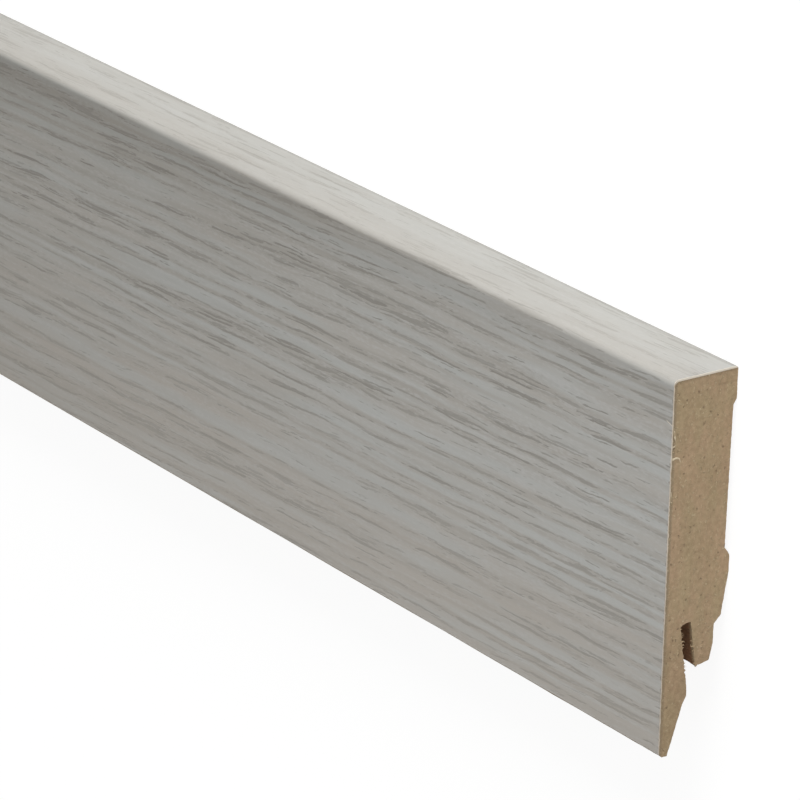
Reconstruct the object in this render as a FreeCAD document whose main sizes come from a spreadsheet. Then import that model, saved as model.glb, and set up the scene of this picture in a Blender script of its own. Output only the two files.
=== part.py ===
import FreeCAD, Part
import Sketcher
import math
import os
import re

# A length of clip-on skirting board: a moulded fibreboard core with a wood-grain foil
# laminated over its face, its nose and its top edge. It lies on its back, face up.
#
# X runs along the board, +Y points to its top edge and +Z to its face. The origin is on
# the wall plane, under the middle of the board. Every size is in millimetres.
#
# A section is drawn with heights from the bottom edge and depths from the wall plane.

sizes = [
    ("board_length", 2400, "sawn square at both ends"),
    ("board_height", 60, "bottom edge to top edge, foil included"),
    ("board_thickness", 12, "wall plane to face, foil included"),
    ("foil", 0.3, "thickness of the laminated foil"),
    ("nose_round", 0.7, "radius of the core where the face turns into the top edge"),
    ("bottom_arris", 0.55, "what the bevel on the face's bottom edge takes off the core"),
    ("top_arris", 0.1, "what the bevel on the top edge's back takes off the core"),
    ("top_land", 5.2, "height of the flat that meets the wall at the top"),
    ("land_bevel", 0.8, "height of the bevel from that flat into the back relief"),
    ("relief_top", 0.6, "depth of the back relief under the top land"),
    ("relief_foot", 0.95, "depth of the back relief above the heel"),
    ("heel_top", 30.3, "height of the heel's upper corner"),
    ("heel_bevel", 1.2, "height of the bevel from the heel into the back relief"),
    ("heel_land", 2.8, "height of the flat that meets the wall at the heel"),
    ("heel_round", 0.9, "radius of the heel's two corners"),
    ("shoulder_height", 19.6, "height of the shoulder where the tongue starts"),
    ("shoulder_bevel", 1.15, "height of the bevel from the heel down to the tongue"),
    ("shoulder_depth", 1.12, "how far the heel has tapered off the wall at that bevel"),
    ("shoulder_round", 0.7, "radius of the bevel's outer corner"),
    ("tongue_depth", 2.35, "wall plane to the back of the tongue"),
    ("tongue_foot", 13.4, "height of the tongue's lower end at the slot"),
    ("tongue_foot_rise", 0.5, "how much higher that end is at the tongue's back"),
    ("tongue_bevel", 3.2, "height of the bevel on the back of the tongue"),
    ("tongue_bevel_in", 0.65, "how far that bevel reaches in"),
    ("tongue_front_round", 0.25, "radius of the tongue's lower corner at the slot"),
    ("tongue_back_round", 0.35, "radius of the tongue's lower corner at the back"),
    ("slot_top", 20.6, "height of the clip slot's closed end"),
    ("slot_width", 1.8, "width of the clip slot, straight through the board"),
    ("slot_front_round", 0.4, "radius in the slot's closed end, next to the lip"),
    ("slot_back_round", 0.15, "radius in the slot's closed end, next to the tongue"),
    ("lip_root", 3.4, "thickness of the lip at the slot's closed end, foil included"),
    ("lip_crest", 5, "thickness of the lip at its crest, foil included"),
    ("crest_top", 10.45, "height where the crest starts"),
    ("crest_land", 1.35, "height of the flat on the crest"),
    ("crest_bevel", 1.3, "height of the bevel under the crest"),
    ("crest_bevel_in", 0.65, "how far that bevel reaches in"),
    ("tip_width", 1.8, "thickness of the board's bottom edge, foil included"),
]

document = FreeCAD.newDocument("SkirtingBoard")
sheet = document.addObject("Spreadsheet::Sheet", "Dimensions")
for row, (alias, value, note) in enumerate(sizes, 1):
    sheet.set(f"A{row}", alias)
    sheet.set(f"B{row}", str(value))
    sheet.setAlias(f"B{row}", alias)
    sheet.set(f"C{row}", note)
document.recompute()

size_names = {alias for alias, value, note in sizes}

# Limits of the work, none of them a size of the board
corner_reach = 1e-4  # how near an edge lies to the corner that it is looked up by
least_cut = 1  # cubic millimetres: a cutter that takes less has missed the piece
outline_start = 2  # where the polygon that becomes an outline has its middle, its radius being 1
shoulder_share = 0.9  # how much of the shoulder its rounded corner may take
slot_front_share = 0.5  # how much of the slot's closed end the corner by the lip may take
slot_back_share = 0.3  # how much of it the corner by the tongue may take

# How a constraint names what it holds
line_start = 1
line_end = 2
height_axis = -1
depth_axis = -2
origin = (height_axis, line_start)


def formula(text):
    """Point each size that a formula names at its cell in the sheet."""
    def cell(word):
        return "Dimensions." + word[0] if word[0] in size_names else word[0]
    return re.sub("[a-z_]+", cell, text)


def new_body(label):
    """A piece drawn up from its bottom edge and set with its middle over the origin."""
    body = document.addObject("PartDesign::Body", label)
    body.Label = label
    body.setExpression("Placement.Base.y", formula("-board_height / 2"))
    return body


def section(body, name, corners):
    """A closed outline across the board, straight between corners given as height and depth."""
    sketch = body.newObject("Sketcher::SketchObject", name)
    across = next(plane for plane in body.Origin.OriginFeatures if plane.Role == "YZ_Plane")
    sketch.AttachmentSupport = [(across, "")]
    sketch.MapMode = "FlatFace"

    # The lines start as a regular polygon, and the corners' sizes then pull it into shape.
    count = len(corners)
    start = []
    for i in range(count):
        angle = 2 * math.pi * i / count
        start.append(FreeCAD.Vector(outline_start + math.cos(angle), outline_start + math.sin(angle), 0))
    for i in range(count):
        sketch.addGeometry(Part.LineSegment(start[i], start[(i + 1) % count]))
    for i in range(count):
        following = (i + 1) % count
        sketch.addConstraint(Sketcher.Constraint("Coincident", i, line_end, following, line_start))
    for i, (height, depth) in enumerate(corners):
        place_corner(sketch, i, "DistanceX", start[i].x, height, depth_axis)
        place_corner(sketch, i, "DistanceY", start[i].y, depth, height_axis)
    return sketch


def place_corner(sketch, line, direction, start, size, axis):
    """Hold the start of a line at a size from the origin, or on the axis where that is nothing."""
    if size == "0":
        sketch.addConstraint(Sketcher.Constraint("PointOnObject", line, line_start, axis))
        return
    number = sketch.addConstraint(Sketcher.Constraint(direction, *origin, line, line_start, start))
    sketch.setExpression(f"Constraints[{number}]", formula(size))


def run_out(body, kind, name, sketch):
    """Pad or pocket a section over the whole length of the board."""
    feature = body.newObject(f"PartDesign::{kind}", name)
    feature.Profile = sketch
    feature.SideType = "Symmetric"
    feature.setExpression("Length", formula("board_length"))
    document.recompute()


def mill(body, name, corners):
    """Mill a section away along the whole board, and make sure that the cutter met the piece."""
    before = body.Shape.Volume
    sketch = section(body, name + "_section", corners)
    run_out(body, "Pocket", name, sketch)
    if body.Shape.Volume > before - least_cut:
        raise ValueError(f"{name} cut nothing")
    return sketch


def round_corner(body, name, sketch, corner, radius):
    """Round the long edge on a corner of a section, numbered from 0 in the order of its list."""
    base = body.Tip
    edge = edge_on(base.Shape, sketch.Geometry[corner].StartPoint)
    fillet = body.newObject("PartDesign::Fillet", name)
    fillet.Base = (base, [edge])
    fillet.setExpression("Radius", formula(radius))
    document.recompute()


def edge_on(shape, corner):
    """The name of the edge that runs along the board through a corner of its section."""
    for number, edge in enumerate(shape.Edges, 1):
        reach = [max(abs(end.Y - corner.x), abs(end.Z - corner.y)) for end in edge.Vertexes]
        if max(reach) < corner_reach:
            return f"Edge{number}"
    raise ValueError(f"no edge at height {corner.x:.2f}, depth {corner.y:.2f}")


# Core

def blank(body):
    """The sawn strip, with its nose rounded for the foil to bend over."""
    sketch = section(body, "blank_section", [
        ("0", "0"),
        ("0", "board_thickness - foil - bottom_arris"),
        ("bottom_arris", "board_thickness - foil"),
        ("board_height - foil", "board_thickness - foil"),
        ("board_height - foil", "top_arris"),
        ("board_height - foil - top_arris", "0"),
    ])
    run_out(body, "Pad", "blank", sketch)
    round_corner(body, "nose", sketch, 3, "nose_round")


def back_relief(body):
    """The shallow hollow between the top land and the heel, which keeps the board off the wall."""
    sketch = mill(body, "back_relief", [
        ("board_height - top_land", "0"),
        ("board_height - top_land - land_bevel", "relief_top"),
        ("heel_top + heel_bevel", "relief_foot"),
        ("heel_top", "0"),
    ])
    round_corner(body, "heel_upper_corner", sketch, 3, "heel_round")


def heel_and_tongue_back(body):
    """The heel's taper, the shoulder under it and the back of the tongue."""
    sketch = mill(body, "tongue_back", [
        ("heel_top - heel_land", "0"),
        ("shoulder_height + shoulder_bevel", "shoulder_depth"),
        ("shoulder_height", "tongue_depth"),
        ("tongue_foot + tongue_bevel", "tongue_depth"),
        ("tongue_foot + tongue_foot_rise", "tongue_depth + tongue_bevel_in"),
        ("0", "tongue_depth + tongue_bevel_in"),
        ("0", "0"),
    ])
    round_corner(body, "heel_lower_corner", sketch, 0, "heel_round")
    shoulder_radius = f"min(shoulder_round; {shoulder_share} * (tongue_depth - shoulder_depth))"
    round_corner(body, "shoulder", sketch, 1, shoulder_radius)
    return sketch


# The slot leans towards the face on its way up, and its closed end is square to its walls.
slot_lean = "((lip_crest - lip_root) / (slot_top - crest_top))"
end_rise = f"(slot_width * {slot_lean} / (1 + {slot_lean} * {slot_lean}))"
wall_at_tongue_foot = f"(board_thickness - lip_crest + {slot_lean} * (tongue_foot - crest_top))"
wall_at_slot_end = f"(board_thickness - lip_root + {slot_lean} * {end_rise})"


def clip_rebate(body):
    """The open space behind the lip, down the crest and the beak to the bottom edge."""
    mill(body, "clip_rebate", [
        ("0", "0"),
        ("0", "board_thickness - tip_width"),
        ("crest_top - crest_land - crest_bevel", "board_thickness - lip_crest + crest_bevel_in"),
        ("crest_top - crest_land", "board_thickness - lip_crest"),
        ("crest_top", "board_thickness - lip_crest"),
        ("tongue_foot", wall_at_tongue_foot),
        ("tongue_foot", f"{wall_at_tongue_foot} - slot_width"),
        ("tongue_foot + tongue_foot_rise", "tongue_depth + tongue_bevel_in"),
        ("tongue_foot + tongue_foot_rise", "0"),
    ])


def clip_slot(body, tongue_back):
    """The slanted slot between lip and tongue, which springs over the wall clip."""
    sketch = mill(body, "clip_slot", [
        ("tongue_foot", wall_at_tongue_foot),
        ("slot_top", "board_thickness - lip_root"),
        (f"slot_top + {end_rise}", f"{wall_at_slot_end} - slot_width"),
        ("tongue_foot", f"{wall_at_tongue_foot} - slot_width"),
    ])
    front_radius = f"min(slot_front_round; {slot_front_share} * slot_width)"
    back_radius = f"min(slot_back_round; {slot_back_share} * slot_width)"
    round_corner(body, "slot_front_corner", sketch, 1, front_radius)
    round_corner(body, "slot_back_corner", sketch, 2, back_radius)
    round_corner(body, "tongue_front_corner", sketch, 3, "tongue_front_round")
    round_corner(body, "tongue_back_corner", tongue_back, 4, "tongue_back_round")


def fibreboard_core():
    body = new_body("fibreboard_core")
    blank(body)
    back_relief(body)
    tongue_back = heel_and_tongue_back(body)
    clip_rebate(body)
    clip_slot(body, tongue_back)
    return body


# Foil

def decor_foil():
    """The foil from the trimmed bottom edge, up the face and over the nose to the top edge's back."""
    body = new_body("decor_foil")
    sketch = section(body, "foil_section", [
        ("foil + bottom_arris", "board_thickness"),
        ("board_height", "board_thickness"),
        ("board_height", "foil + top_arris"),
        ("board_height - foil", "top_arris"),
        ("board_height - foil", "board_thickness - foil"),
        ("bottom_arris", "board_thickness - foil"),
    ])
    run_out(body, "Pad", "strip", sketch)
    round_corner(body, "bend_inside", sketch, 4, "nose_round")
    round_corner(body, "bend_outside", sketch, 1, "nose_round + foil")
    return body


def check(pieces):
    """Stop unless every feature was made and every piece is one sound solid."""
    for item in document.Objects:
        if "Invalid" in item.State or "Error" in item.State:
            raise ValueError(f"{item.Label} failed: {item.State}")
    for piece in pieces:
        if piece.Shape.isNull() or not piece.Shape.isValid() or len(piece.Shape.Solids) != 1:
            raise ValueError(f"{piece.Label} is not one sound solid")


pieces = [fibreboard_core(), decor_foil()]
document.recompute()
check(pieces)
os.makedirs("parts", exist_ok=True)
for piece in pieces:
    piece.Shape.exportStep(f"parts/{piece.Label}.step")
    box = piece.Shape.BoundBox
    print(f"{piece.Label}: {box.XLength:.2f} x {box.YLength:.2f} x {box.ZLength:.2f} mm, "
          f"Y {box.YMin:.2f} to {box.YMax:.2f}, Z {box.ZMin:.2f} to {box.ZMax:.2f}, "
          f"{piece.Shape.Volume / 1000:.1f} cm3")
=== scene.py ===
import bmesh
import bpy
import math
import random
from mathutils import Matrix, Quaternion, Vector, noise


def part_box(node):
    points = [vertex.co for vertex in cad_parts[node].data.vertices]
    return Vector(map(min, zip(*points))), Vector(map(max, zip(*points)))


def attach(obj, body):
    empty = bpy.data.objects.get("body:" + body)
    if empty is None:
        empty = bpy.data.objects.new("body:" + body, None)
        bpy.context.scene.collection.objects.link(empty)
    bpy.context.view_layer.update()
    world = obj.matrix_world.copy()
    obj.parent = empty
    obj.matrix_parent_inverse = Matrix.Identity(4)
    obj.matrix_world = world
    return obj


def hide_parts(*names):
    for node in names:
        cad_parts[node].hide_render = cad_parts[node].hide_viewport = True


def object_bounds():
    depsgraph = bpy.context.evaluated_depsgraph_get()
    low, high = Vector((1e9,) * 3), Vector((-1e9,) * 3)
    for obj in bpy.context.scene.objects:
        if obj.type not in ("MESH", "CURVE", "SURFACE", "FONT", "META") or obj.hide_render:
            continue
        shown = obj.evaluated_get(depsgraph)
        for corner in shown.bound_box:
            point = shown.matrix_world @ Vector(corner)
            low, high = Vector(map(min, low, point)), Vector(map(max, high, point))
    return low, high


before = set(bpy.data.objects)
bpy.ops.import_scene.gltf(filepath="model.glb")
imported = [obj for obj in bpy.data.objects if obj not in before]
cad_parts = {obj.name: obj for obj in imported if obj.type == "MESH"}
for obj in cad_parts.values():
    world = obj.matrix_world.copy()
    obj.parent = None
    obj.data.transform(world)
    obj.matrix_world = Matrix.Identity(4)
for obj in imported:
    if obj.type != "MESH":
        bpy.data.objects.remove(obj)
cadLow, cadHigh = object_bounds()
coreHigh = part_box("fibreboard_core")[1]  # where the foil lies on the core
boardEnd = cadHigh.x

# Meshes are built in metres, and patterns are sized in millimetres
perMetre = 1000
endMm = boardEnd * perMetre
topMm = cadHigh.y * perMetre
faceMm = cadHigh.z * perMetre
print("Frame loaded, board", [round(side * perMetre, 1) for side in cadHigh - cadLow], "mm")


# Small helpers for node trees

class Field:  # what a node puts out, so that sums of changing values are written as plain sums
    def __init__(self, socket):
        self.socket = socket
        self.tree = socket.id_data

    def __add__(self, other):
        return calc("ADD", self, other)

    def __radd__(self, other):
        return calc("ADD", other, self)

    def __sub__(self, other):
        return calc("SUBTRACT", self, other)

    def __rsub__(self, other):
        return calc("SUBTRACT", other, self)

    def __mul__(self, other):
        return calc("MULTIPLY", self, other)

    def __truediv__(self, other):
        return calc("DIVIDE", self, other)

    def __rtruediv__(self, other):
        return calc("DIVIDE", other, self)

    def __abs__(self):
        return calc("ABSOLUTE", self)


def treeOf(*values):  # the node tree that these values belong to
    return next(value.tree for value in values if isinstance(value, Field))


def addNode(tree, kind, settings=None, values=None):
    made = tree.nodes.new(kind)
    for name, value in (settings or {}).items():
        setattr(made, name, value)
    for socket, value in (values or {}).items():
        if isinstance(value, Field):
            tree.links.new(value.socket, made.inputs[socket])
        else:
            made.inputs[socket].default_value = value
    return made


def addField(tree, kind, settings=None, values=None, output=0):
    return Field(addNode(tree, kind, settings, values).outputs[output])


def calc(operation, first, second=0.0):
    settings = {"operation": operation}
    return addField(treeOf(first, second), "ShaderNodeMath", settings, {0: first, 1: second})


def ramp(value, start, end, low=0.0, high=1.0):  # a soft step from low to high
    settings = {"interpolation_type": "SMOOTHSTEP"}
    values = {"Value": value, "From Min": start, "From Max": end, "To Min": low, "To Max": high}
    return addField(value.tree, "ShaderNodeMapRange", settings, values, "Result")


def mixValue(amount, first, second):
    return addField(amount.tree, "ShaderNodeMix", {"data_type": "FLOAT"}, {0: amount, 2: first, 3: second})


def mixColour(amount, first, second, blend="MIX"):
    settings = {"data_type": "RGBA", "blend_type": blend}
    return addField(amount.tree, "ShaderNodeMix", settings, {0: amount, 6: first, 7: second}, output=2)


def join(x, y, z):
    return addField(treeOf(x, y, z), "ShaderNodeCombineXYZ", values={0: x, 1: y, 2: z})


def split(vector):
    parts = addNode(vector.tree, "ShaderNodeSeparateXYZ", values={0: vector}).outputs
    return {axis: Field(parts[axis]) for axis in "XYZ"}


def noiseAt(vector, detail=0.0, scale=1.0):
    values = {"Vector": vector, "Scale": scale, "Detail": detail}
    return addField(vector.tree, "ShaderNodeTexNoise", {"noise_dimensions": "3D"}, values, "Fac")


def noiseLayer(grain, long, wide, layer, detail=0.0):  # noise drawn out along the grain, long by wide mm
    return noiseAt(join(grain["Along"] / long, grain["Across"] / wide, layer), detail)


def newGroup(name, inputs):
    group = bpy.data.node_groups.new(name, "ShaderNodeTree")
    for label, value in inputs.items():
        socket = group.interface.new_socket(name=label, in_out="INPUT", socket_type="NodeSocketFloat")
        socket.default_value = value
    sockets = group.nodes.new("NodeGroupInput").outputs
    return group, {label: Field(sockets[label]) for label in inputs}


def putOut(group, name, value):
    group.interface.new_socket(name=name, in_out="OUTPUT", socket_type="NodeSocketFloat")
    addNode(group, "NodeGroupOutput", values={0: value})
    return group


def placeGroup(group, values):
    return addField(treeOf(*values.values()), "ShaderNodeGroup", {"node_tree": group}, values)


def linear(value):
    share = value / 255
    return share / 12.92 if share <= 0.04045 else ((share + 0.055) / 1.055) ** 2.4


def colour(red, green, blue):  # as a screen shows it, 0 to 255
    return (linear(red), linear(green), linear(blue), 1)


# Shared effects: masks that the materials place with their own values

effects = {
    "brokenLength": 0.14,  # of the short marks that Break mixes in, as a share of the whole ones
    "brokenWidth": 0.6,
    "rowLength": 7.0,  # of the lines that Rows gathers marks in
    "rowWidth": 1.6,
    "frayAlong": 11,  # steps of the fraying in one dash
    "frayAcross": 3,
    "scoreStart": 0.01,  # mm over which a score begins
    "scoreFade": 0.3,  # share of its length over which it dies away
    "patchEdge": 0.2,  # share of the noise that fades a patch to each side, at a Contrast of 1
}


def makeStreaks():  # marks that taper at both ends: Break chops them up, and Rows gathers them in lines
    group, given = newGroup("streaks", {
        "Along": 0, "Across": 0, "Through": 0, "Length": 30, "Width": 1, "Coverage": 0.55, "Softness": 0.1,
        "Break": 0.5, "Rows": 0})
    length, width, coverage = given["Length"], given["Width"], given["Coverage"]
    whole = noiseLayer(given, length, width, given["Through"], detail=1.5)
    broken = noiseLayer(given, length * effects["brokenLength"], width * effects["brokenWidth"],
                        given["Through"], detail=2.0)
    rows = noiseLayer(given, length * effects["rowLength"], width * effects["rowWidth"],
                      given["Through"], detail=0.5)
    marks = mixValue(given["Break"], whole, broken) + (rows - 0.5) * given["Rows"]
    return putOut(group, "Mask", ramp(marks, coverage, coverage + given["Softness"]))


def makeDashes():  # separate marks with pointed ends: Ragged frays them, Variety weakens or drops some
    group, given = newGroup("dashes", {
        "Along": 0, "Across": 0, "Through": 0, "Length": 40, "Width": 1, "Size": 0.28, "Softness": 0.15,
        "Ragged": 0.1, "Variety": 0.5})
    along = given["Along"] / given["Length"]
    across = given["Across"] / given["Width"]
    nearest = addNode(group, "ShaderNodeTexVoronoi", {"voronoi_dimensions": "3D", "feature": "F1"},
                      {"Vector": join(along, across, given["Through"]), "Scale": 1.0}).outputs
    fray = join(along * effects["frayAlong"], across * effects["frayAcross"], given["Through"])
    reach = Field(nearest["Distance"]) + (noiseAt(fray, detail=1.0) - 0.5) * given["Ragged"]
    inside = ramp(reach, given["Size"] - given["Softness"], given["Size"], 1.0, 0.0)
    chance = addField(group, "ShaderNodeSeparateColor", values={0: Field(nearest["Color"])})
    strength = calc("MAXIMUM", 1.0 - chance * given["Variety"], 0)
    return putOut(group, "Mask", inside * strength)


def makePatches():  # slow drift between two tones, longer than it is wide
    group, given = newGroup("patches", {
        "Along": 0, "Across": 0, "Through": 0, "Length": 100, "Width": 8, "Contrast": 1})
    drift = noiseLayer(given, given["Length"], given["Width"], given["Through"], detail=2.0)
    edge = effects["patchEdge"] / given["Contrast"]
    return putOut(group, "Amount", ramp(drift, 0.5 - edge, 0.5 + edge))


def makeScores():  # one straight soft mark from Start to End, Slope steep and Wide mm to each side
    group, given = newGroup("scores", {
        "Along": 0, "Across": 0, "Start": 0, "End": 1, "Place": 0, "Slope": 0, "Wide": 0.2})
    along, start, end = given["Along"], given["Start"], given["End"]
    middle = given["Place"] + along * given["Slope"]
    thin = ramp(abs(given["Across"] - middle), 0.0, given["Wide"], 1.0, 0.0)
    begun = ramp(along, start - effects["scoreStart"], start)
    ended = ramp(along, end - (end - start) * effects["scoreFade"], end, 1.0, 0.0)
    return putOut(group, "Mask", thin * begun * ended)


streaks = makeStreaks()
dashes = makeDashes()
patches = makePatches()
scores = makeScores()
print("Shared effects built")


# Parts that every material starts and ends with

def emptyTree(owner):
    owner.use_nodes = True
    owner.node_tree.nodes.clear()
    return owner.node_tree


def newMaterial(name):  # and its tree, and the place on the board in mm
    made = bpy.data.materials.new(name)
    tree = emptyTree(made)
    place = addField(tree, "ShaderNodeTexCoord", output="Object")
    inMm = addField(tree, "ShaderNodeVectorMath", {"operation": "SCALE"}, {0: place, "Scale": perMetre})
    return made, tree, split(inMm)


def addShader(tree, baseColour, roughness, relief=None, deep=0.0):
    values = {"Base Color": baseColour, "Roughness": roughness}
    if relief is not None:
        values["Normal"] = addField(tree, "ShaderNodeBump", values={"Height": relief, "Distance": deep})
    shader = addField(tree, "ShaderNodeBsdfPrincipled", values=values)
    addNode(tree, "ShaderNodeOutputMaterial", values={"Surface": shader})


def facingAlong(tree):  # 1 on a sawn end, 0 on all that runs along the board
    normal = addField(tree, "ShaderNodeNewGeometry", output="True Normal")
    return abs(split(normal)["X"])


def belowTop(place, start, end, low=0.0, high=1.0):  # a soft step between two depths below the top edge
    return ramp(place["Y"], topMm - start, topMm - end, low, high)


# Wood-grain foil: lengths are in mm

foil = {
    "cool": colour(198, 199, 195),  # the print's ground lies between these two
    "warm": colour(194, 188, 179),
    "shady": colour(168, 163, 154),  # where the dashes crowd together
    "light": colour(210, 209, 206),
    # the pores' colour, which the painted shade under the nose and the darker line along the back of the
    # top edge also use
    "poreAndShade": colour(144, 140, 132),
    "cloudShade": colour(199, 197, 193),  # what the broad clouds darken the print by, partly print tone and partly painted shade
    "nick": colour(142, 132, 118),  # where the saw chipped the print
    "paper": colour(208, 196, 181),  # its cut edge
    "upperPaper": colour(224, 211, 193),  # the upper half of the cut edge on the face
    "paperAndHighlight": colour(240, 230, 214),  # and the cut edge on top, lighter as a painted highlight; also bare paper where the print is worn or torn
    "glue": colour(166, 147, 118),
    "roughness": 0.5,

    "drift": 2.8,  # how far the grain swings up and down
    "swing": 140,  # along the board for each radian of that swing
    "swingStart": 1130,
    "waver": 1.5,  # unsteadiness of the grain's lines
    "waverNoise": {"long": 22, "wide": 5, "layer": 0.0, "detail": 2.0},
    "kink": 0.5,  # the same over a short way, so that the dashes are bent
    "kinkNoise": {"long": 7, "wide": 1.2, "layer": 6.0},
    "tilt": -0.022,  # of the dashes against their rows

    "rowPitch": 2.8,  # of the rows that the dashes crowd in on the face
    "rowWander": 14,  # radians that the rows stray by
    "wanderNoise": {"long": 150, "wide": 6.5, "layer": 11.0},
    "rowNoise": {"long": 130, "wide": 3.64, "layer": 8.0, "detail": 1.5},  # where the rows come and go
    "spotNoise": {"long": 26, "wide": 2.2, "layer": 15.0, "detail": 1.5},  # their spots on the top edge
    "noiseShare": 0.65,
    "rowShare": 0.13,  # how much the rows count beside that noise
    "rowShareTop": 0.03,  # and on the top edge
    "crowdRange": (0.26, 0.44),  # from where the dashes start to crowd, to where they crowd fully
    "edgeBand": (0.9, 0.1),  # below the top edge: where the face turns into it

    "tones": {"Length": 55, "Width": 4, "Contrast": 1.3, "Through": 3},  # cool and warm patches
    "toneWarmth": 0.75,
    "crowdWarmth": 0.6,
    "warmLow": 0.4,  # how much warmer the ground gets low on the face
    "warmLowBand": (-25, 0),  # above the middle of the height
    "warmFront": 0.45,  # how warm it is at the front of the top edge
    "warmFrontBand": (0, 11),  # from the back
    "warmFrontShare": 0.75,
    "soft": {"Length": 24, "Width": 1.5, "Coverage": 0.46, "Softness": 0.24, "Break": 0.3, "Rows": 0.3,
             "Through": 2},
    "softShade": 0.25,
    "crowdShade": 0.33,
    "hairs": {"Length": 9, "Width": 0.5, "Coverage": 0.44, "Softness": 0.26, "Break": 0.6, "Rows": 0.4,
              "Through": 5},
    "hairLight": 0.5,

    "pores": {"Length": 20, "Width": 0.68, "Softness": 0.09, "Ragged": 0.6, "Variety": 0.5, "Through": 1.4},
    "poreStrength": 0.76,
    "flicks": {"Length": 10, "Width": 0.62, "Softness": 0.1, "Ragged": 0.5, "Variety": 0.5, "Through": 7.6},
    "flickStrength": 0.58,
    "dashSize": 0.19,
    "crowdedSize": 0.23,  # what crowding adds to it
    "poreDepth": 0.00003,  # m
    "calmLow": 0.68,  # how much of the grain's contrast the lower part of the face keeps
    "calmHigh": 1.1,  # and the upper part
    "calmBand": (-25, 20),
    "calmTop": 0.7,  # and the top edge
    "calmTopBand": (1.2, 0),

    "shade": 0.22,  # painted shade: how much darker the print is under the nose
    "shadeBand": (9, 2),
    "trimmed": 0.4,  # how much darker the print is along the back of the top edge
    "trimmedBand": (0.6, 1.3),
    "cloudShadeStrength": 0.62,  # how strong its broad clouds are: partly print tone, partly painted shade placed to darken the face a little way from the sawn end
    "cloudStart": 996,
    "cloudHeight": 18,
    "cloudSwing": 75,  # along or across the board for each radian of the clouds
    "cloudNoise": {"long": 170, "wide": 40, "layer": 4.0},
    "cloudHigh": 1.4,  # how much stronger they are high on the face
    "cloudHighFrom": 8,
    "cloudHighTo": 3,  # below the top edge
    "cloudTop": 0.3,  # how much of them the top edge keeps
    "cloudTopBand": (1.2, 0),
    "topShade": 0.2,  # painted shade over the whole top edge: how much darker its rear is
    "frontShade": 0.3,  # and its front
    "frontBand": (5, 9),

    "cutFacing": 0.7,  # a face turned further along the board than this is a cut
    "highlightBand": (0.9, 0.2),  # below the top edge: where the cut's paper gets lighter, a painted highlight
    "upperPaperBand": (-1, 5),  # above the middle of the height, the same on the face
    "soakedBand": (0.15, 0.23),  # the paper shows pale on the cut down to here, and then glue soaks it
    "soakedLessTop": 0.8,
    "chewed": 0.35,  # how uneven the saw left that
    "chewedSteps": 1.4,  # of its noise in 1 mm
    "nickSteps": (0.7, 1.1),  # of the chips' noise in 1 mm, along the board and up it
    "nickReach": 2.4,
    "nickRange": (1.15, 1.45),
    "nickStrength": 0.7,
    "wornTop": 0.24,  # most that is worn down to paper along the top edge's sawn ends
    "wornRange": (-0.05, 0.05),
    "wornStrength": 0.85,
    "shred": {"Place": 23.0, "Slope": 0.35, "End": 1.6, "Wide": 0.16},  # a tear of bare paper at one end
    "shredStrength": 0.8,
}


def layGrain(place):  # the ways along and across the grain, which swings up and down and is never straight
    along = place["X"]
    unrolled = place["Y"] - place["Z"]  # runs on over the nose without a seam
    straight = unrolled - calc("SINE", (along - foil["swingStart"]) / foil["swing"]) * foil["drift"]
    waver = noiseLayer({"Along": along, "Across": straight}, **foil["waverNoise"])
    return {"Along": along, "Across": straight + (waver - 0.5) * foil["waver"]}


def crowdDashes(grain, onEdge):  # where the dashes crowd: in rows on the face, in spots on the top edge
    fading = mixValue(onEdge, noiseLayer(grain, **foil["rowNoise"]), noiseLayer(grain, **foil["spotNoise"]))
    wander = noiseLayer(grain, **foil["wanderNoise"])
    turn = grain["Across"] * (math.tau / foil["rowPitch"]) + wander * foil["rowWander"]
    rowShare = ramp(onEdge, 0.0, 1.0, foil["rowShare"], foil["rowShareTop"])
    return ramp(fading * foil["noiseShare"] + calc("SINE", turn) * rowShare, *foil["crowdRange"])


def printGround(place, grain, onEdge, crowd, contrast):  # all that lies under the dashes
    tone = placeGroup(patches, {**grain, **foil["tones"]})
    warmth = calc("MAXIMUM", tone * foil["toneWarmth"], crowd * foil["crowdWarmth"])
    warmth = warmth + ramp(place["Y"], *foil["warmLowBand"], foil["warmLow"], 0.0)
    front = ramp(place["Z"], *foil["warmFrontBand"], 0.0, foil["warmFront"])
    warmth = warmth + onEdge * foil["warmFrontShare"] * (front - warmth)
    ground = mixColour(warmth, foil["cool"], foil["warm"])
    soft = placeGroup(streaks, {**grain, **foil["soft"]})
    shady = crowd * foil["crowdShade"] + soft * foil["softShade"]
    ground = mixColour(shady * contrast, ground, foil["shady"])
    hairs = placeGroup(streaks, {**grain, **foil["hairs"]})
    return mixColour(hairs * foil["hairLight"] * contrast, ground, foil["light"])


def printDashes(grain, crowd):  # long pores with shorter flicks between them
    bent = noiseLayer(grain, **foil["kinkNoise"])
    across = grain["Across"] + (bent - 0.5) * foil["kink"] + grain["Along"] * foil["tilt"]
    size = foil["dashSize"] + crowd * foil["crowdedSize"]
    shared = {"Along": grain["Along"], "Across": across, "Size": size}
    pores = placeGroup(dashes, {**shared, **foil["pores"]})
    flicks = placeGroup(dashes, {**shared, **foil["flicks"]})
    return calc("MAXIMUM", pores * foil["poreStrength"], flicks * foil["flickStrength"])


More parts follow.
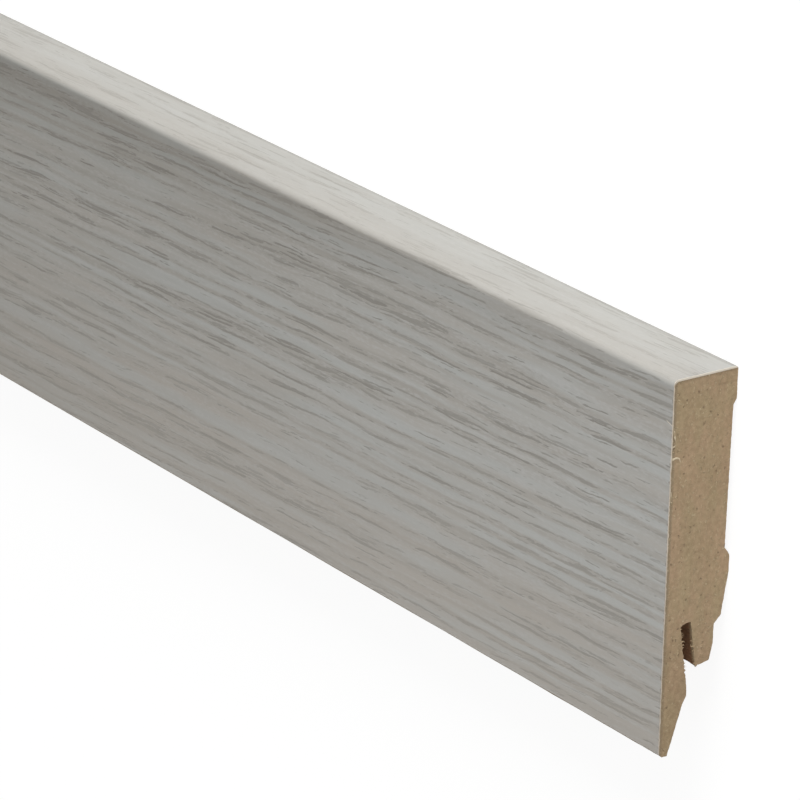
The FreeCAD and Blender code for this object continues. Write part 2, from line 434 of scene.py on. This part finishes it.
def shadePrint(printed, place, grain, onEdge):  # painted shade under the nose and over the top edge, a darker line along the back of the top edge, and broad clouds that are partly painted shade
    # painted shade: the face just under the nose darkened toward the pores' colour
    shade = (belowTop(place, *foil["shadeBand"]) - onEdge) * foil["shade"]
    trimmed = ramp(place["Z"], *foil["trimmedBand"], foil["trimmed"], 0.0)
    printed = mixColour(calc("MAXIMUM", shade, trimmed), printed, foil["poreAndShade"])
    unrolled = place["Y"] - place["Z"]
    # broad clouds: partly print tone, partly painted shade, strongest high on the face and placed to darken
    # it a little way from the sawn end
    phase = (place["X"] - foil["cloudStart"] - (unrolled - foil["cloudHeight"])) / foil["cloudSwing"]
    swell = calc("COSINE", phase + (noiseLayer(grain, **foil["cloudNoise"]) - 0.5))
    cloudShade = (swell * 0.5 + 0.5) * foil["cloudShadeStrength"]
    higher = ramp(place["Y"], foil["cloudHighFrom"], topMm - foil["cloudHighTo"], 1.0, foil["cloudHigh"])
    lessOnTop = belowTop(place, *foil["cloudTopBand"], 1.0, foil["cloudTop"] / foil["cloudHigh"])
    printed = mixColour(cloudShade * (higher * lessOnTop), printed, foil["cloudShade"], "MULTIPLY")
    # painted shade: the whole top edge darkened toward the shady colour, more at its front
    front = ramp(place["Z"], *foil["frontBand"], foil["topShade"], foil["frontShade"])
    return mixColour(front * onEdge, printed, foil["shady"])


def wearPrint(printed, place, onEdge, chewed):  # chips, bare paper and one tear along the sawn ends
    fromEnd = endMm - abs(place["X"])
    stepsAlong, stepsUp = foil["nickSteps"]
    chipped = noiseAt(join(place["X"] * stepsAlong, place["Y"] * stepsUp, place["Z"]), detail=2.0)
    nicks = ramp(chipped * foil["nickReach"] - fromEnd, *foil["nickRange"])
    printed = mixColour(nicks * foil["nickStrength"], printed, foil["nick"])
    worn = ramp(fromEnd - chewed * foil["wornTop"], *foil["wornRange"], foil["wornStrength"], 0.0)
    printed = mixColour(worn * onEdge, printed, foil["paperAndHighlight"])
    shred = placeGroup(scores, {"Along": endMm - place["X"], "Across": place["Y"], **foil["shred"]})
    return mixColour(shred * foil["shredStrength"], printed, foil["paperAndHighlight"])


def cutEdge(place, chewed):  # the foil's own cut: pale paper with a painted highlight near the top edge, and glue on its inner side
    # painted highlight: the cut's paper lighter near the top edge
    height = belowTop(place, *foil["highlightBand"])
    paper = mixColour(ramp(place["Y"], *foil["upperPaperBand"]), foil["paper"], foil["upperPaper"])
    paper = mixColour(height, paper, foil["paperAndHighlight"])
    inward = calc("MINIMUM", faceMm - place["Z"], topMm - place["Y"])
    soaked = ramp(inward + (chewed - 0.5) * foil["chewed"], *foil["soakedBand"])
    return mixColour(soaked * (1.0 - height * foil["soakedLessTop"]), paper, foil["glue"])


def dressFoil():
    material, tree, place = newMaterial("woodGrainFoil")
    grain = layGrain(place)
    onEdge = belowTop(place, *foil["edgeBand"])
    crowd = crowdDashes(grain, onEdge)
    calm = ramp(place["Y"], *foil["calmBand"], foil["calmLow"], foil["calmHigh"])
    contrast = belowTop(place, *foil["calmTopBand"], calm, foil["calmTop"])
    marks = printDashes(grain, crowd)
    printed = printGround(place, grain, onEdge, crowd, contrast)
    printed = mixColour(marks * contrast, printed, foil["poreAndShade"])
    printed = shadePrint(printed, place, grain, onEdge)
    steps = foil["chewedSteps"]
    chewed = noiseAt(join(place["Y"] * steps, place["Z"] * steps, 0.0), detail=2.0)
    printed = wearPrint(printed, place, onEdge, chewed)
    cut = calc("GREATER_THAN", facingAlong(tree), foil["cutFacing"])
    seen = mixColour(cut, printed, cutEdge(place, chewed))
    addShader(tree, seen, foil["roughness"], relief=1.0 - marks, deep=foil["poreDepth"])
    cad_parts["decor_foil"].material_slots[0].material = material
    print("Foil dressed")


dressFoil()


# Core: the same section as the solid, with the torn surfaces that saw and cutter leave, lengths in m

core = {
    "step": 0.00028,  # between points round the milled part of the section
    "slotStep": 0.00014,  # and round the slot
    "coveredStep": 0.004,  # and where the foil covers it
    "firstRow": 0.0003,  # between rows at a sawn end
    "rowGrowth": 1.15,
    "lastRow": 0.04,
    "torn": 0.0001,  # how deep the milled faces are torn
    "tornSlot": 0.0002,  # and the walls of the slot
    "tornLength": 0.0009,
    "tornFiner": 3.1,  # times finer, the second layer of tearing
    "sawn": 0.00012,  # how far the sawn ends lie behind the foil's cut edge
    "slotLow": (-0.0172, 0.0051),  # box round the slot in the section, Y and Z
    "slotHigh": (-0.0088, 0.0089),
    "nose": 0.0009,
    "flush": 0.00001,  # nearer than this to the foil counts as touching it
    "sameSpot": 0.000001,
    "sharp": 35,  # degrees
}
tufts = {
    "chance": 0.06,  # of a torn fibre at each point round the milled part, at a sawn end
    "chanceSlot": 0.28,
    "long": 0.0002,
    "longSlot": 0.0005,
    "shortest": 0.2,  # as a share of the longest
    "wide": 0.00014,
    "widths": (0.8, 3),  # times that
    "root": 0.00015,
    "inset": (0.00002, 0.0004),  # from the sawn end
    "clear": 0.0006,  # none grows nearer than this to the back
    "lean": 0.3,
    "blunt": 0.8,
    "seed": 8,
}


def addSliver(mesh, line, wide, thick, flat, blunt=2.5, tip=0.15):  # a fibre that tapers along a line
    rings = []
    last = len(line) - 1
    for i, at in enumerate(line):
        ahead = (line[min(i + 1, last)] - line[max(i - 1, 0)]).normalized()
        side = ahead.cross(flat).normalized()
        share = max(tip, 1 - (i / last) ** blunt)
        half = side * wide * share / 2
        lift = flat * thick * share / 2
        rings.append([mesh.verts.new(at + off) for off in (half, lift, -half, -lift)])
    for near, far in zip(rings, rings[1:]):
        for k in range(4):
            mesh.faces.new((near[k], near[(k + 1) % 4], far[(k + 1) % 4], far[k]))
    mesh.faces.new(rings[0])
    mesh.faces.new(rings[-1][::-1])


def addPiece(name, mesh):
    bmesh.ops.recalc_face_normals(mesh, faces=mesh.faces)
    data = bpy.data.meshes.new(name)
    mesh.to_mesh(data)
    mesh.free()
    made = bpy.data.objects.new(name, data)
    bpy.context.scene.collection.objects.link(made)
    return made


def sectionOutline(node):  # the section's corners in order, as (Y, Z), read from the solid's sawn end
    mesh = bmesh.new()
    mesh.from_mesh(node.data)
    bmesh.ops.remove_doubles(mesh, verts=mesh.verts, dist=core["sameSpot"])
    onEnd = set()
    for one in mesh.faces:
        if all(abs(corner.co.x - boardEnd) < core["sameSpot"] for corner in one.verts):
            onEnd.add(one)
    following = {}
    for one in onEnd:
        for loop in one.loops:
            if sum(other in onEnd for other in loop.edge.link_faces) == 1:
                following[loop.vert] = loop.link_loop_next.vert
    corner = min(following, key=lambda found: (round(found.co.y, 6), found.co.z))
    outline = []
    while len(outline) < len(following):
        outline.append((corner.co.y, corner.co.z))
        corner = following[corner]
    mesh.free()
    return outline


def isCovered(y, z):  # the foil lies on the face, the nose and the top edge
    onNose = y > coreHigh.y - core["nose"] and z > coreHigh.z - core["nose"]
    return onNose or y > coreHigh.y - core["flush"] or z > coreHigh.z - core["flush"]


def inSlot(y, z):
    low, high = core["slotLow"], core["slotHigh"]
    return low[0] < y < high[0] and low[1] < z < high[1]


def finePoints(outline):  # (Y, Z, outward Y, outward Z, how deep it may be torn) all round
    points = []
    for i, (y, z) in enumerate(outline):
        nextY, nextZ = outline[(i + 1) % len(outline)]
        length = math.hypot(nextY - y, nextZ - z)
        middle = ((y + nextY) / 2, (z + nextZ) / 2)
        covered = isCovered(*middle)
        step = core["coveredStep" if covered else "slotStep" if inSlot(*middle) else "step"]
        count = max(1, round(length / step))
        outY, outZ = (nextZ - z) / length, -(nextY - y) / length
        for k in range(count):
            share = k / count
            atY, atZ = y + (nextY - y) * share, z + (nextZ - z) * share
            deep = 0 if covered or isCovered(atY, atZ) else core["tornSlot" if inSlot(atY, atZ) else "torn"]
            points.append((atY, atZ, outY, outZ, deep))
    return points


def rowPlaces():  # close together at the sawn ends, where the tearing shows
    half = []
    reach, step = core["sawn"], core["firstRow"]
    while reach < boardEnd:
        half.append(boardEnd - reach)
        reach += step
        step = min(step * core["rowGrowth"], core["lastRow"])
    return [-x for x in half] + half[::-1]


def tear(x, y, z, deep):  # how far in a point of a milled face is torn
    at = Vector((x, y, z)) / core["tornLength"]
    rough = 0.5 + 0.5 * noise.noise(at) + 0.5 * noise.noise(at * core["tornFiner"])
    return deep * min(1, max(0, rough))


def addTufts(mesh, points):  # torn fibres that stand off the milled faces at both sawn ends
    chance = random.Random(tufts["seed"])
    for end in (-1, 1):
        for y, z, outY, outZ, deep in points:
            slot = deep == core["tornSlot"]
            likely = tufts["chanceSlot" if slot and outZ < 0 else "chance"]
            if deep == 0 or z < tufts["clear"] or chance.random() > likely:
                continue
            start = Vector((end * (boardEnd - core["sawn"] - chance.uniform(*tufts["inset"])), y, z))
            out = Vector((chance.uniform(-tufts["lean"], tufts["lean"]), outY, outZ)).normalized()
            bend = Vector((0, chance.uniform(-1, 1), chance.uniform(-1, 1)))
            share = tufts["shortest"] + (1 - tufts["shortest"]) * chance.random() ** 2
            long = tufts["longSlot" if slot else "long"] * share
            aside = (out + bend).normalized()
            line = [start - out * tufts["root"], start + out * long * 0.5, start + aside * long]
            for at in line:  # none reaches past the foil's cut edge
                at.x = end * min(abs(at.x), boardEnd - tufts["wide"] / 2)
            wide = tufts["wide"] * chance.uniform(*tufts["widths"])
            addSliver(mesh, line, wide, tufts["wide"], Vector((1, 0, 0)), blunt=tufts["blunt"])


def makeCore():
    points = finePoints(sectionOutline(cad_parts["fibreboard_core"]))
    count = len(points)
    mesh = bmesh.new()
    # marks the slot's walls, which the core's material paints with shade
    slotWall = mesh.verts.layers.float.new("slotWall")
    rings = []
    for x in rowPlaces():
        ring = []
        for y, z, outY, outZ, deep in points:
            inward = tear(x, y, z, deep)
            made = mesh.verts.new((x, y - outY * inward, max(0, z - outZ * inward)))
            made[slotWall] = 1 if deep == core["tornSlot"] else 0
            ring.append(made)
        rings.append(ring)
    for near, far in zip(rings, rings[1:]):
        for i in range(count):
            after = (i + 1) % count
            mesh.faces.new((near[i], near[after], far[after], far[i])).smooth = True
    mesh.edges.ensure_lookup_table()
    for ring in (rings[0], rings[-1]):
        rim = [mesh.edges.get((ring[i], ring[(i + 1) % count])) for i in range(count)]
        bmesh.ops.triangle_fill(mesh, edges=rim, use_beauty=True)
    addTufts(mesh, points)
    made = addPiece("sawn_core", mesh)
    made.data.set_sharp_from_angle(angle=math.radians(core["sharp"]))
    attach(made, "root")
    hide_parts("fibreboard_core")
    print("Core milled:", len(made.data.polygons), "faces")
    return made


sawnCore = makeCore()


# Fibreboard, the core's material: lengths are in mm

fibreboard = {
    "dull": colour(189, 167, 132),  # a sawn end lies between these two
    "ruddy": colour(197, 168, 136),
    "shady": colour(150, 126, 96),
    "lightFibre": colour(226, 207, 168),
    "darkFibre": colour(104, 76, 52),
    "milled": colour(170, 147, 116),
    "glue": colour(156, 140, 118),  # darkened strip along the foil
    "slotShaded": colour(142, 105, 74),  # slot walls deeper in: painted shade, partly the milled walls' own darker colour
    "roughness": 0.9,
    "fuzz": 0.0001,  # m of relief
    "sawnRange": (0.5, 0.8),  # how far along the board a sawn face looks

    "throughStep": 3.0,  # along the board, over which the marks change
    "tones": {"Length": 7, "Width": 3, "Contrast": 1.2},
    "mottles": {"Length": 0.78, "Width": 0.75, "Contrast": 1.0},
    "mottleLayer": 4.0,
    "mottleShade": 0.36,
    "blotches": {"Length": 5, "Width": 3.5, "Contrast": 1.4},
    "blotchLayer": 8.0,
    "blotchShade": 0.14,
    "lowShade": 0.2,  # how much darker the thin lower part is
    "lowShadeBand": (-16, -8),  # above the middle of the height
    "fibres": {"Length": 0.66, "Width": 0.55, "Coverage": 0.52, "Softness": 0.16, "Break": 0.6},
    "fibreStrength": 0.44,
    "flecks": {"Length": 0.72, "Width": 0.65, "Size": 0.32, "Softness": 0.16, "Ragged": 0.8,
               "Variety": 1.4},
    "fleckStrength": 0.72,
    "fleckSteps": 3.0,  # times faster than the rest, how flecks and dots change along the board
    "lowCalm": 0.6,  # how much of the pale marks the thin lower part keeps
    "lowCalmBand": (-18, -8),
    "dots": {"Length": 0.88, "Width": 0.85, "Size": 0.23, "Softness": 0.13, "Ragged": 0.7, "Variety": 1.8},
    "dotLayer": 5.0,
    "dotStrength": 0.48,

    "glueFace": (0.7, 0.2),  # below the foil on the face
    "glueTop": (0.5, 0.1),  # and on the top edge
    "glueTopShare": 0.4,
    "glueStrength": 0.8,
    "scratch": {"Place": 27.72, "End": 4.2, "Wide": 0.3},  # the saw's mark on one end, level from the back
    "scratchStrength": 0.22,
    "slotShadeBand": (0.1, 1.1),  # from the sawn end: torn pale fibres and painted light before it, painted shade past it
    "tornAndLitStrength": 0.35,
}


def glueStrip(place, sawn):
    faceStart, faceEnd = fibreboard["glueFace"]
    topStart, topEnd = fibreboard["glueTop"]
    coreFace, coreTop = coreHigh.z * perMetre, coreHigh.y * perMetre
    nearFace = ramp(place["Z"], coreFace - faceStart, coreFace - faceEnd)
    nearTop = ramp(place["Y"], coreTop - topStart, coreTop - topEnd)
    strips = calc("MAXIMUM", nearFace, nearTop * fibreboard["glueTopShare"])
    return strips * (sawn * fibreboard["glueStrength"])


def dressCore():
    material, tree, place = newMaterial("fibreboard")
    through = place["X"] / fibreboard["throughStep"]
    section = {"Along": place["Y"], "Across": place["Z"], "Through": through}
    sawn = ramp(facingAlong(tree), *fibreboard["sawnRange"])
    tone = placeGroup(patches, {**section, **fibreboard["tones"]})
    surface = mixColour(tone, fibreboard["dull"], fibreboard["ruddy"])
    surface = mixColour(sawn, fibreboard["milled"], surface)
    surface = mixColour(glueStrip(place, sawn), surface, fibreboard["glue"])

    mottleThrough = through + fibreboard["mottleLayer"]
    blotchThrough = through + fibreboard["blotchLayer"]
    mottled = placeGroup(patches, {**section, **fibreboard["mottles"], "Through": mottleThrough})
    blotched = placeGroup(patches, {**section, **fibreboard["blotches"], "Through": blotchThrough})
    low = ramp(place["Y"], *fibreboard["lowShadeBand"], fibreboard["lowShade"], 0.0)
    shady = low + (mottled * fibreboard["mottleShade"] + blotched * fibreboard["blotchShade"])
    surface = mixColour(shady, surface, fibreboard["shady"])

    faster = through * fibreboard["fleckSteps"]
    fibres = placeGroup(streaks, {**section, **fibreboard["fibres"]})
    flecks = placeGroup(dashes, {**section, **fibreboard["flecks"], "Through": faster})
    pale = calc("MAXIMUM", fibres * fibreboard["fibreStrength"], flecks * fibreboard["fleckStrength"])
    pale = pale * ramp(place["Y"], *fibreboard["lowCalmBand"], fibreboard["lowCalm"], 1.0)
    dots = placeGroup(dashes, {**section, **fibreboard["dots"], "Through": faster + fibreboard["dotLayer"]})
    surface = mixColour(pale, surface, fibreboard["lightFibre"])
    surface = mixColour(dots * fibreboard["dotStrength"], surface, fibreboard["darkFibre"])

    scratch = placeGroup(scores, {"Along": place["Z"], "Across": place["Y"], **fibreboard["scratch"]})
    oneEnd = sawn * calc("GREATER_THAN", place["X"], 0.0)
    surface = mixColour(scratch * oneEnd * fibreboard["scratchStrength"], surface, fibreboard["darkFibre"])
    # slot walls: painted light with torn pale fibres near the sawn end, painted shade deeper in
    slotWall = addField(tree, "ShaderNodeAttribute", {"attribute_name": "slotWall"}, output="Fac")
    wall = slotWall * (1.0 - sawn)
    inside = ramp(endMm - abs(place["X"]), *fibreboard["slotShadeBand"])
    torn = wall * (1.0 - inside)
    surface = mixColour(torn * fibreboard["tornAndLitStrength"], surface, fibreboard["lightFibre"])
    surface = mixColour(wall * inside, surface, fibreboard["slotShaded"])
    addShader(tree, surface, fibreboard["roughness"], relief=pale - dots, deep=fibreboard["fuzz"])
    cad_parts["fibreboard_core"].material_slots[0].material = material
    sawnCore.data.materials.append(material)
    print("Core dressed")


dressCore()


# Burrs: shreds of the foil's paper that the saw left hanging on its cut edge

burrs = {
    "shown": [  # on the end that the photo shows: (mm above the bottom edge, mm from the face) along each
        [(52.1, 0.28), (51.9, 0.5), (51.2, 0.6), (50.4, 0.85), (50.0, 0.8)],
        [(49.6, 0.2), (49.6, 0.5), (49.9, 0.85)],
        [(47.6, 0.2), (47.8, 1.0), (47.6, 1.6), (46.9, 1.95)],
        [(44.9, 0.2), (44.6, 0.45)],
        [(42.6, 0.28), (41.8, 0.32), (41.1, 0.3), (40.9, 0.55)],
        [(30.6, 0.25), (30.1, 0.45)],
    ],
    "others": 7,  # on the other end
    "heights": (6, 54),  # mm
    "lengths": (0.3, 1.3),
    "lean": 0.6,
    "root": 0.2,
    "curl": [(0, 0), (0.6, 0.5), (1, 1.5)],  # how far out and how far aside, as shares
    "seed": 3,
    "wide": 0.00036,  # m
    "thick": 0.0001,
    "lift": 0.6,  # how far they lie inside the cut, in thicknesses
    "paper": colour(232, 216, 186),
    "soiled": colour(190, 170, 138),
    "soiledRange": (0.4, 0.65),
    "soiledSteps": 1.5,  # of its noise in 1 mm
    "roughness": 0.8,
}


def burrLines():  # (which end, its places) for each shred
    chance = random.Random(burrs["seed"])
    lines = [(1, shred) for shred in burrs["shown"]]
    for _ in range(burrs["others"]):
        height = chance.uniform(*burrs["heights"])
        long = chance.uniform(*burrs["lengths"])
        aside = chance.uniform(-burrs["lean"], burrs["lean"]) * long
        places = [(height + aside * lean, burrs["root"] + long * out) for out, lean in burrs["curl"]]
        lines.append((-1, places))
    return lines


def makeBurrs():
    mesh = bmesh.new()
    lines = burrLines()
    for end, shred in lines:
        x = end * (boardEnd - burrs["thick"] * burrs["lift"])
        line = [Vector((x, cadLow.y + up / perMetre, cadHigh.z - depth / perMetre)) for up, depth in shred]
        addSliver(mesh, line, burrs["wide"], burrs["thick"], Vector((end, 0, 0)))
    made = addPiece("cut_burrs", mesh)
    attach(made, "root")

    material, tree, place = newMaterial("tornPaper")
    soiled = noiseAt(join(place["X"], place["Y"], place["Z"]), detail=1.0, scale=burrs["soiledSteps"])
    paper = mixColour(ramp(soiled, *burrs["soiledRange"]), burrs["paper"], burrs["soiled"])
    addShader(tree, paper, burrs["roughness"])
    made.data.materials.append(material)
    print("Burrs left on the ends:", len(lines))


makeBurrs()


# Floor, light and camera

studio = {
    "floorSize": 30,
    "floorColour": colour(235, 235, 235),
    "floorGlow": 0.9,
    "floorShade": 0.2,
    "skyColour": (1, 1, 1, 1),
    "skyLight": 0.27,
    "lamps": {
        "key": {"place": (1.6, 2.4, 0.85), "aim": (0.9, 0, 0), "size": 1.6, "power": 51},
        "side": {"place": (3.4, 0.6, 1.2), "aim": (1.2, 0, 0), "size": 1.2, "power": 12},
    },
}


def seenDirectly(tree):  # what the camera sees, straight or in a gloss or through glass
    path = addNode(tree, "ShaderNodeLightPath").outputs
    both = calc("MAXIMUM", Field(path["Is Camera Ray"]), Field(path["Is Glossy Ray"]))
    return calc("MAXIMUM", both, Field(path["Is Transmission Ray"]))


def layFloor():
    half = studio["floorSize"] / 2
    corners = [(-half, -half, 0), (half, -half, 0), (half, half, 0), (-half, half, 0)]
    mesh = bpy.data.meshes.new("floor")
    mesh.from_pydata(corners, [], [(0, 1, 2, 3)])
    floor = bpy.data.objects.new("floor", mesh)
    bpy.context.scene.collection.objects.link(floor)
    material = bpy.data.materials.new("paleFloor")
    tree = emptyTree(material)
    shade = studio["floorShade"]
    plain = addField(tree, "ShaderNodeBsdfDiffuse", values={"Color": studio["floorColour"]})
    shaded = addField(tree, "ShaderNodeBsdfDiffuse", values={"Color": (shade, shade, shade, 1)})
    glow = addField(tree, "ShaderNodeEmission", values={"Strength": studio["floorGlow"]})
    shown = addField(tree, "ShaderNodeAddShader", values={0: shaded, 1: glow})
    surface = addField(tree, "ShaderNodeMixShader", values={0: seenDirectly(tree), 1: plain, 2: shown})
    addNode(tree, "ShaderNodeOutputMaterial", values={"Surface": surface})
    mesh.materials.append(material)


def lightWorld():  # white to the camera, and plain soft light on the board
    world = bpy.data.worlds.new("studio")
    tree = emptyTree(world)
    strength = ramp(seenDirectly(tree), 0.0, 1.0, studio["skyLight"], 1.0)
    sky = addField(tree, "ShaderNodeBackground",
                   values={"Color": studio["skyColour"], "Strength": strength})
    addNode(tree, "ShaderNodeOutputWorld", values={"Surface": sky})
    bpy.context.scene.world = world


def hangLamp(name, place, aim, size, power):
    lamp = bpy.data.lights.new(name, "AREA")
    lamp.shape = "SQUARE"
    lamp.size = size
    lamp.energy = power
    holder = bpy.data.objects.new(name, lamp)
    holder.location = place
    holder.rotation_mode = "QUATERNION"
    holder.rotation_quaternion = (Vector(aim) - Vector(place)).to_track_quat("-Z", "Y")
    bpy.context.scene.collection.objects.link(holder)


layFloor()
lightWorld()
for lampName, lampValues in studio["lamps"].items():
    hangLamp(lampName, **lampValues)
print("Studio lit")

lens = {
    "place": (1.747585, 0.297007, 0.455598),
    "aim": (1.132600, 0.005024, 0.012),
    "up": (0, 1, 0),  # the board's top edge is up in the picture
    "roll": -1.347,  # degrees
    "length": 235.09,
    "sensor": 36,
}


def setCamera():
    data = bpy.data.cameras.new("camera")
    data.lens = lens["length"]
    data.sensor_width = lens["sensor"]
    place = Vector(lens["place"])
    forward = (Vector(lens["aim"]) - place).normalized()
    right = forward.cross(Vector(lens["up"])).normalized()
    right = Quaternion(forward, math.radians(lens["roll"])) @ right
    up = right.cross(forward)
    turn = Matrix((right, up, -forward)).transposed()
    holder = bpy.data.objects.new("camera", data)
    holder.rotation_mode = "QUATERNION"
    holder.rotation_quaternion = turn.to_quaternion()
    holder.location = place
    bpy.context.scene.collection.objects.link(holder)
    bpy.context.scene.camera = holder


setCamera()
bpy.context.scene.view_settings.view_transform = "Standard"
print("Camera set")
